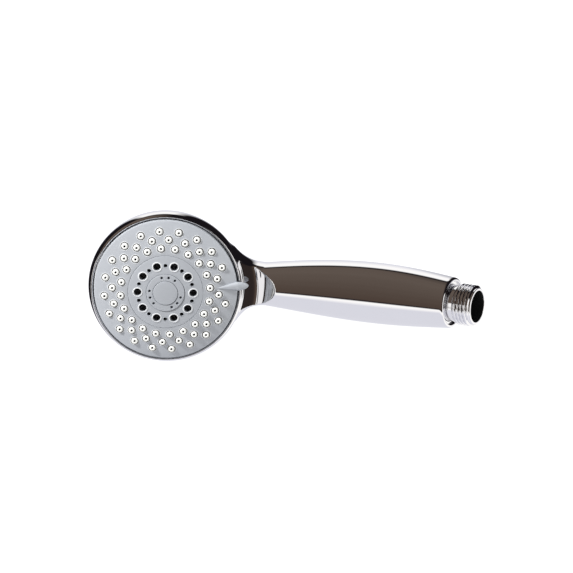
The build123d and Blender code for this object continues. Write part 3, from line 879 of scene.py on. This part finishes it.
def steel():
    """Stainless steel with drawn streaks along the head's axis."""
    made = Shader("steel_finish", metallic=1.0)
    stretched = made.add("ShaderNodeMapping", None, {"Vector": made.place, "Scale": (1.0, 1.0, 0.08)})
    streaks = made.add("ShaderNodeTexNoise", None, {"Vector": stretched, "Scale": 4000.0, "Detail": 2.0})
    made.feed("Base Color", made.mix(streaks, (0.50, 0.50, 0.49), (0.66, 0.65, 0.63)))
    made.feed("Roughness", made.band(streaks, 0.3, 0.7, 0.22, 0.36))
    return made.material


FINISHED = {
    "steel": ("seal_spring", "retaining_screw", "retaining_washer", "carrier_screws",
              "detent_spring", "detent_ball", "plate_screws"),
    "acetal": ("water_tube", "port_carrier", "distributor", "rotor_plate", "flow_restrictor"),
    "rubber": ("connector_o_ring", "spindle_o_ring", "port_seal", "chamber_gasket"),
    # black is the aerator insert's own colour, and painted shade on the inlet filter deep in the bore
    "black": ("aerator_insert", "inlet_filter"),
    "blue": ("turbine_wheel",),
}


# ---------------------------------------------------------------- pieces
def adopt(piece, body, finish, slot, *nodes):
    """Gives a piece its finish and body, and hides the nodes it stands for. The slot is not used."""
    piece.data.materials.clear()
    piece.data.materials.append(finish)
    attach(piece, body)
    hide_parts(*nodes)


def make_shell(sizes, finish):
    """Chromed head and handle, one hollow moulding with the lever's valley."""
    def field(points):
        return shell_field(points, sizes)

    room = 1.5
    low = (-RIM_R - room, -RIM_R - room, RIM_Z - BOWL_DEPTH - room)
    high = (HANDLE_END.x + HALF_DEPTHS[2], RIM_R + room, TIP.z + room * 4)
    points, faces = surface_net(field, low, high, sizes.net)
    points = settle(field, points, 3)
    points = even_out(field, points, faces, 3)
    points, faces = refine(points, faces, fine_detail(points, faces))
    points = settle(field, points, 3)
    piece = new_piece("chromed_shell", points, faces, HEAD, normals=gradient(field, points))
    adopt(piece, "handset", finish, "chrome_plate", "body_shell")


def thread_radius(z, a):
    """Radius of the threaded length at height z under the end face and angle a."""
    start, stop = -THREAD_L - 0.2, -0.9
    phase = (z / PITCH - a / (2 * math.pi)) % 1.0
    wave = 0.5 + 0.5 * math.cos(2 * math.pi * phase)
    crest = min(max((wave - 0.12) / 0.72, 0.0), 1.0)
    crest = crest * crest * (3 - 2 * crest)
    fade = min(max((z - start) / 0.9, 0.0), 1.0) * min(max((stop - z) / 0.7, 0.0), 1.0)
    return ROOT_R + (THREAD_R - ROOT_R) * crest * fade


def make_inlet(finish, bore_shading):
    """Hose inlet: spigot, helical thread, rounded end and stepped bore."""
    segments, rows = 144, 84
    foot = -SPIGOT_L - INLET_L
    groove_r, groove_low, groove_high = SPIGOT_R - 1.4, -INLET_L - 11.0, -INLET_L - 8.8
    wall = [(6.2, foot), (SPIGOT_R - 0.5, foot), (SPIGOT_R, foot + 0.5), (SPIGOT_R, groove_low),
            (groove_r, groove_low), (groove_r, groove_high), (SPIGOT_R, groove_high),
            (SPIGOT_R, -INLET_L - 0.2), (SPIGOT_R, -INLET_L + 1.2), (SPIGOT_R, -INLET_L + 2.2)]
    low, high = -THREAD_L - 0.4, -0.75
    threads = [(None, low + (high - low) * k / rows) for k in range(rows + 1)]
    end = rounded([(ROOT_R, -0.7), (ROOT_R, 0.0), (BORE_R, 0.0), (BORE_R, -BORE_DEEP)], [0, 0.45, 0.3, 0])
    bore = [(BORE_R, -BORE_DEEP), (7.4, -BORE_DEEP), (7.4, -9.4), (6.2, -9.4)]
    outline = wall + threads + end + bore
    points = []
    for r, z in outline:
        for k in range(segments):
            a = 2 * math.pi * k / segments
            points.append((*polar(thread_radius(z, a) if r is None else r, a), z))
    rings = [range(i * segments, (i + 1) * segments) for i in range(len(outline))]
    piece = new_piece("threaded_inlet", *face_outwards(points, skin(rings, closed=True)), INLET, sharp=50)
    adopt(piece, "handset", finish, "chrome_plate", "inlet_connector")
    # painted shade: the faces inside the bore take the near-black second finish
    piece.data.materials.append(bore_shading)
    into = INLET.inverted()
    for polygon in piece.data.polygons:
        spot = into @ polygon.center
        if math.hypot(spot.x, spot.y) < BORE_R + 0.02 and spot.z < -0.3:
            polygon.material_index = 1


def lever_section(x):
    """Middle height, half width and half height of the lever at a distance from the axis."""
    grow = min((x - LEVER_FROM) / 10.5, 1.0)
    tip = max((x - LEVER_TIP) / (LEVER_TO - LEVER_TIP), 0.0)
    taper = math.sqrt(max(1.0 - tip**2.6, 0.0)) * (1 - 0.25 * tip)
    half = (0.15 + 2.15 * grow**0.9) * max(taper, 0.02)
    top = dome(min(x, FACE_R)) + 0.1 + 2.75 * grow**1.2 - 1.1 * tip**2
    low = (-6.15 if x > FACE_R - 0.3 else dome(x) - 1.4) + 0.9 * tip**2
    return (top + low) / 2, half, (top - low) / 2 * max(taper, 0.05)


def lever_shape():
    """Selector lever: a rounded ridge that grows out of the face and overhangs the rim."""
    rows, around = 40, 32
    trim = math.radians(LEVER_TRIM)
    points = []
    for i in range(rows + 1):
        x = LEVER_FROM + (LEVER_TO - LEVER_FROM) * i / rows
        middle, half, rise = lever_section(x)
        for k in range(around):
            a = 2 * math.pi * k / around
            y = half * math.copysign(abs(math.cos(a))**0.85, math.cos(a))
            z = middle + rise * math.copysign(abs(math.sin(a))**0.85, math.sin(a))
            across = x * math.sin(trim) + y * math.cos(trim)
            points.append((x * math.cos(trim) - y * math.sin(trim), across, z))
    rings = [range(i * around, (i + 1) * around) for i in range(rows + 1)]
    return face_outwards(points, skin(rings) + [list(rings[0]), list(rings[-1])])


def make_face(sizes, finish):
    """Satin face plate with its skirt, nozzle holes and lever."""
    edges = []
    rim = [(0.7, 0.0), (0.35, -0.01), (0.15, -0.06), (0.04, -0.16), (0.0, -0.32)]
    drop = SKIRT_Z - dome(FACE_R)
    rim += [(0.0, drop / 2), (0.0, drop), (1.6, drop), (1.6, -PLATE_T), (0.7, -PLATE_T)]
    edges.append(Edge(0, 0, FACE_R, rim, 180, outside=True))
    edges.append(Edge(0, 0, INSERT_R + 0.1, rolled(EDGE_ROLL, EDGE_ROLL, PLATE_T), 120))
    for radius, first, filled in nozzle_rings(sizes.count):
        for k in range(filled):
            x, y = polar(radius, math.radians(first) + 2 * math.pi * k / sizes.count)
            edges.append(Edge(x, y, sizes.nozzle + 0.4, lipped(0.3, 0.14, PLATE_T), 32))
    shape = join([plate(edges, FACE_R, INSERT_R, dome, PLATE_T), lever_shape()])
    # painted highlight on the raised collars round the nozzle holes
    collar_highlight = highlight_on_lips(edges[2:], 0.3)
    piece = new_piece("spray_face_plate", *shape, CLOCKED, sharp=40, marks={"painted_lip_highlight": collar_highlight})
    adopt(piece, "spray_face", finish, "satin_grey", "face_plate")


def nozzle_shape(sizes):
    """One silicone nozzle: a domed nipple with its jet hole."""
    r, top = sizes.nozzle, sizes.proud
    outline = [(0, -3.0), (r, -3.0), (r, -0.3), (r * 0.985, top * 0.35), (r * 0.93, top * 0.66),
               (r * 0.82, top * 0.86), (r * 0.66, top * 0.97), (r * 0.5, top), (r * 0.4, top * 0.97),
               (r * 0.335, top * 0.85), (r * 0.32, top * 0.6), (r * 0.3, -2.4), (0, -2.4)]
    return face_outwards(*lathe(outline, 24))


def make_nozzles(sizes, finish):
    """Silicone mat behind the face, with its nozzles in three rings."""
    outer, inner, gap, thick = 34.6, 21.2, PLATE_T + 0.1, 1.2
    radii = [inner + (outer - inner) * k / 8 for k in range(9)]
    outline = [(r, dome(r) - gap) for r in radii] + [(r, dome(r) - gap - thick) for r in reversed(radii)]
    mat = face_outwards(*lathe(outline, 96))

    def hole_shade_marks(x, y, z):
        """Painted shade: one inside the jet hole, less on the root below the face, nothing on the nipple."""
        inside = z < sizes.proud * 0.8 and math.hypot(x, y) < sizes.nozzle * 0.38 and z > -2.9
        return 1.0 if inside else 0.7 * (z < -0.25)

    piece = rings_of("silicone_nozzles", nozzle_shape(sizes), hole_shade_marks, nozzle_rings(sizes.count),
                     sizes.count, finish, CLOCKED, mat)
    adopt(piece, "spray_face", finish, "white_silicone", "nozzle_mat")


def make_mist_ring(sizes, finish):
    """Ring of large and small mist holes, each with a low lip."""
    edges = [Edge(0, 0, INSERT_R, rolled(EDGE_ROLL, EDGE_ROLL, PLATE_T), 120, outside=True),
             Edge(0, 0, DISC_R + 0.15, rolled(0.2, 0.2, PLATE_T), 90)]
    large = (-6.0, sizes.mist_hole, (0.55, 0.32), 40)
    small = (12.2, 1.0, (0.2, 0.12), 24)
    for k in range(MIST_COUNT):
        for first, radius, lip, count in (large, small):
            x, y = polar(MIST_R, math.radians(first + 360 / MIST_COUNT * k))
            edges.append(Edge(x, y, radius, lipped(*lip, PLATE_T), count))
    shape = plate(edges, INSERT_R, DISC_R, dome, PLATE_T, 0.9)
    # painted highlight on the raised lips round the large mist holes
    mist_lip_highlight = highlight_on_lips([edge for edge in edges if edge.radius == sizes.mist_hole], 0.62)
    piece = new_piece("mist_hole_ring", *shape, CLOCKED, sharp=45, marks={"painted_lip_highlight": mist_lip_highlight})
    adopt(piece, "spray_face", finish, "satin_grey", "mist_ring")


def make_centre(finish):
    """Massage disc with its nine jets, and the cap over the central screw."""
    def crown(r):
        return 0.35 - r * r / (2 * DOME_R)

    well = [(EDGE_ROLL, 0.0), (0.1, -0.03), (0.02, -0.11), (0.0, -0.3), (0.0, -0.9), (-1.8, -0.9),
            (-1.8, -DISC_T), (EDGE_ROLL, -DISC_T)]
    edges = [Edge(0, 0, DISC_R, rolled(0.25, EDGE_ROLL, DISC_T), 96, outside=True),
             Edge(0, 0, CAP_R + 0.17, well, 72)]
    for group in range(3):
        for side in (-1, 0, 1):
            angle = MASSAGE_FIRST + 120 * group + MASSAGE_STEP * side
            edges.append(Edge(*polar(MASSAGE_R, math.radians(angle)), MASSAGE_HOLE,
                              rolled(0.12, 0.1, DISC_T), 20))
    shape = plate(edges, DISC_R, CAP_R, crown, DISC_T, 0.8)
    disc = new_piece("massage_jet_disc", *shape, CLOCKED, sharp=45)
    adopt(disc, "spray_face", finish, "satin_grey", "massage_disc")

    top = [(0.0, 0.62), (2.0, 0.61), (4.0, 0.57)]
    side = rounded([(4.0, 0.57), (CAP_R, 0.48), (CAP_R, -0.5), (4.6, -0.5), (4.6, -1.4), (3.9, -1.4),
                    (3.9, -0.5), (0.5, -0.5)], [0, 0.3, 0.12, 0, 0.1, 0.1, 0, 0])
    outline = top + side[1:] + [(0.0, -0.5)]
    cap = new_piece("screw_cap", *face_outwards(*lathe(outline, 72)), CLOCKED, sharp=45)
    adopt(cap, "spray_face", finish, "satin_grey", "centre_cap")


def finish_inner():
    """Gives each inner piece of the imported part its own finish."""
    finishes = {
        "steel": steel(),
        "acetal": moulded("acetal_finish", (0.72, 0.72, 0.69), 0.4),
        "rubber": moulded("rubber_finish", (0.03, 0.03, 0.032), 0.62, 1800.0),
        # black: own colour of the aerator insert, painted shade on the inlet filter
        "black": moulded("black_and_bore_shade_finish", (0.012, 0.012, 0.014), 0.5),
        "blue": moulded("turbine_finish", (0.05, 0.16, 0.45), 0.38),
    }
    for finish, names in FINISHED.items():
        for name in names:
            for place in frame["nodes"][name].material_slots:
                place.material = finishes[finish]


# ---------------------------------------------------------------- stage
def flat_sheet(name, corners, material):
    """Flat four-sided sheet of the stage."""
    mesh = bpy.data.meshes.new(name)
    mesh.from_pydata(corners, [], [(0, 1, 2, 3)])
    mesh.materials.append(material)
    sheet = bpy.data.objects.new(name, mesh)
    bpy.context.scene.collection.objects.link(sheet)
    return sheet


def floor_finish():
    """White studio floor that gives off a little light, so that shadows stay faint."""
    made = Shader("studio_floor", roughness=1.0)
    made.feed("Specular IOR Level", 0.0)
    cloud = made.noise(3.0, 2.0)
    made.feed("Base Color", made.mix(cloud, (0.22, 0.22, 0.22), (0.24, 0.24, 0.24)))
    made.feed("Emission Color", (1.0, 1.0, 1.0, 1.0))
    made.feed("Emission Strength", 0.96)
    return made.material


def surroundings(settings):
    """World: even white light, and the dark and white studio walls that the chrome mirrors.

    Directions are told by the angle round the handle, from the camera's side over the back,
    and by the share along the handle.
    """
    world = bpy.data.worlds.new("studio")
    world.use_nodes = True
    made = NodeMaths(world.node_tree, "Generated")
    turn = Euler(settings.turn).to_matrix()
    along, over, near = [made.add("ShaderNodeVectorMath", {"operation": "DOT_PRODUCT"},
                                  {0: made.place, 1: tuple(turn.col[i])}, output="Value")
                         for i in range(3)]
    angle = made.add("ShaderNodeMath", {"operation": "ARCTAN2"}, {0: over, 1: near}) * (180 / math.pi)
    over_head = made.band(angle, -49.0, -45.0) * (1 - made.band(angle, 104.0, 109.0))
    far_left = made.band(along, -0.34, -0.44) * made.band(over, -0.46, -0.40)
    far_right = made.band(along, 0.08, 0.25) * made.band(over, 0.05, 0.2)
    dark = made.band(over_head + far_left + far_right, 0.0, 1.0)
    lit_right = made.band(along, 0.42, 0.60) * (1 - made.band(angle, 12.0, 26.0))
    lit_left = made.band(along, -0.76, -0.82) * made.band(near, 0.2, 0.3)
    lit_left = lit_left * (1 - made.band(angle, 0.0, 8.0))
    dark = dark * (1 - lit_right) * (1 - lit_left)
    brown = made.band(along, 0.1, -0.25) * made.band(along, -0.97, -0.9)
    edge_line = made.band(angle, -44.0, -38.0) * (1 - made.band(angle, 96.0, 101.0))
    cloud = made.noise(2.2, 3.0)
    tint = made.band(angle, -35.0, 70.0) * 0.7 + cloud * 0.4
    warm = made.mix(tint, (0.074, 0.050, 0.038), (0.135, 0.105, 0.086))
    black = made.mix(brown * edge_line, (0.010, 0.008, 0.010), warm)
    near_edge = made.band(angle, -66.0, -54.0) * made.band(angle, 0.0, -1.0)
    far_edge = made.band(angle, 150.0, 122.0) * made.band(angle, 0.0, 1.0)
    lit = near_edge + far_edge + lit_right + lit_left
    pale = made.mix(lit, (0.80, 0.80, 0.86), (1.15, 1.13, 1.10))
    mirrored = made.mix(dark, pale, black)
    glossy = made.add("ShaderNodeLightPath", output="Is Glossy Ray")
    colour = made.mix(glossy, (1.0, 1.0, 1.0), mirrored)
    strength = glossy * (1 - settings.daylight) + settings.daylight
    back = made.add("ShaderNodeBackground", None, {"Color": colour, "Strength": strength})
    output = made.tree.nodes.new("ShaderNodeOutputWorld")
    made.tree.links.new(back.socket, output.inputs[0])
    return world


def soft_light(name, place, aim, size, power):
    """Square soft light that lights but isn't mirrored."""
    lamp = bpy.data.lights.new(name, "AREA")
    lamp.size = size
    lamp.energy = power
    light = bpy.data.objects.new(name, lamp)
    light.location = place
    light.rotation_euler = (aim - place).to_track_quat("-Z", "Y").to_euler()
    light.visible_glossy = False
    bpy.context.scene.collection.objects.link(light)


def make_stage(settings):
    """Floor, white surroundings, soft lights and the camera."""
    scene = bpy.context.scene
    scene.view_settings.view_transform = "Standard"
    scene.world = surroundings(settings)
    low = min(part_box(name)[0].z for name in ("body_shell", "inlet_connector")) - FLOOR_GAP
    corners = [(x * FLOOR_HALF, y * FLOOR_HALF, low) for x, y in ((-1, -1), (1, -1), (1, 1), (-1, 1))]
    floor = flat_sheet("floor", corners, floor_finish())
    floor.visible_glossy = False

    lens = bpy.data.cameras.new("camera")
    lens.lens = settings.lens
    lens.sensor_width = 36.0
    lens.clip_end = 50.0
    camera = bpy.data.objects.new("camera", lens)
    camera.location = settings.place
    camera.rotation_euler = settings.turn
    scene.collection.objects.link(camera)
    scene.camera = camera
    axes = camera.rotation_euler.to_matrix()
    centre = Vector(SELECTOR["pos_m"])
    for name, (place, size, power) in LIGHTS.items():
        soft_light(name, centre + axes @ Vector(place), centre, size, power)


# ---------------------------------------------------------------- operators
class ShowerHeadSettings(bpy.types.PropertyGroup):
    shell: PointerProperty(type=ShellSizes)
    face: PointerProperty(type=FaceSizes)
    colours: PointerProperty(type=FinishColours)
    stage: PointerProperty(type=StageSettings)


def finish_of(name, maker, colours):
    """A finish by name, made the first time that a piece asks for it."""
    return bpy.data.materials.get(name) or maker(colours)


class SHOWER_OT_shell(bpy.types.Operator):
    """Build the chromed head and handle"""
    bl_idname = "shower.shell"
    bl_label = "Chromed shell"

    def execute(self, context):
        settings = context.scene.shower_head
        make_shell(settings.shell, finish_of("chrome_finish", chrome, settings.colours))
        return {"FINISHED"}


class SHOWER_OT_inlet(bpy.types.Operator):
    """Build the threaded hose inlet"""
    bl_idname = "shower.inlet"
    bl_label = "Hose inlet"

    def execute(self, context):
        settings = context.scene.shower_head
        make_inlet(finish_of("chrome_finish", chrome, settings.colours),
                   finish_of("painted_bore_shade_finish", bore_shade_paint, settings.colours))
        return {"FINISHED"}


class SHOWER_OT_face(bpy.types.Operator):
    """Build the spray face plate with its lever"""
    bl_idname = "shower.face"
    bl_label = "Face plate and lever"

    def execute(self, context):
        settings = context.scene.shower_head
        make_face(settings.face, finish_of("satin_finish", satin, settings.colours))
        return {"FINISHED"}


class SHOWER_OT_nozzles(bpy.types.Operator):
    """Build the silicone nozzles in their three rings"""
    bl_idname = "shower.nozzles"
    bl_label = "Silicone nozzles"

    def execute(self, context):
        settings = context.scene.shower_head
        make_nozzles(settings.face, finish_of("silicone_finish", silicone, settings.colours))
        return {"FINISHED"}


class SHOWER_OT_centre(bpy.types.Operator):
    """Build the mist ring, the massage disc and the cap"""
    bl_idname = "shower.centre"
    bl_label = "Mist ring, massage disc and cap"

    def execute(self, context):
        settings = context.scene.shower_head
        finish = finish_of("satin_finish", satin, settings.colours)
        make_mist_ring(settings.face, finish)
        make_centre(finish)
        return {"FINISHED"}


class SHOWER_OT_inner(bpy.types.Operator):
    """Give the inner pieces their finishes"""
    bl_idname = "shower.inner"
    bl_label = "Inner pieces"

    def execute(self, context):
        finish_inner()
        return {"FINISHED"}


class SHOWER_OT_stage(bpy.types.Operator):
    """Set up the floor, the light and the camera"""
    bl_idname = "shower.stage"
    bl_label = "Stage"

    def execute(self, context):
        make_stage(context.scene.shower_head.stage)
        return {"FINISHED"}


OPERATORS = (SHOWER_OT_stage, SHOWER_OT_shell, SHOWER_OT_inlet, SHOWER_OT_face, SHOWER_OT_nozzles,
             SHOWER_OT_centre, SHOWER_OT_inner)


class SHOWER_PT_panel(bpy.types.Panel):
    """Lists the pieces of the shower head"""
    bl_idname = "SHOWER_PT_panel"
    bl_label = "Shower head"
    bl_space_type = "VIEW_3D"
    bl_region_type = "UI"
    bl_category = "Shower head"

    def draw(self, context):
        for group in ("shell", "face", "colours", "stage"):
            settings = getattr(context.scene.shower_head, group)
            for name in settings.bl_rna.properties.keys():
                if name not in ("rna_type", "name"):
                    self.layout.prop(settings, name)
        for operator in OPERATORS:
            self.layout.operator(operator.bl_idname)


CLASSES = (ShellSizes, FaceSizes, FinishColours, StageSettings, ShowerHeadSettings, *OPERATORS,
           SHOWER_PT_panel)


def register():
    """Makes the settings, operators and panel known."""
    for cls in CLASSES:
        bpy.utils.register_class(cls)
    bpy.types.Scene.shower_head = PointerProperty(type=ShowerHeadSettings)


def unregister():
    """Takes the settings, operators and panel away again."""
    del bpy.types.Scene.shower_head
    for cls in reversed(CLASSES):
        bpy.utils.unregister_class(cls)


def main():
    """Builds every piece in order."""
    register()
    for operator in OPERATORS:
        getattr(bpy.ops.shower, operator.bl_idname.split(".")[1])()


if __name__ == "__main__":
    main()
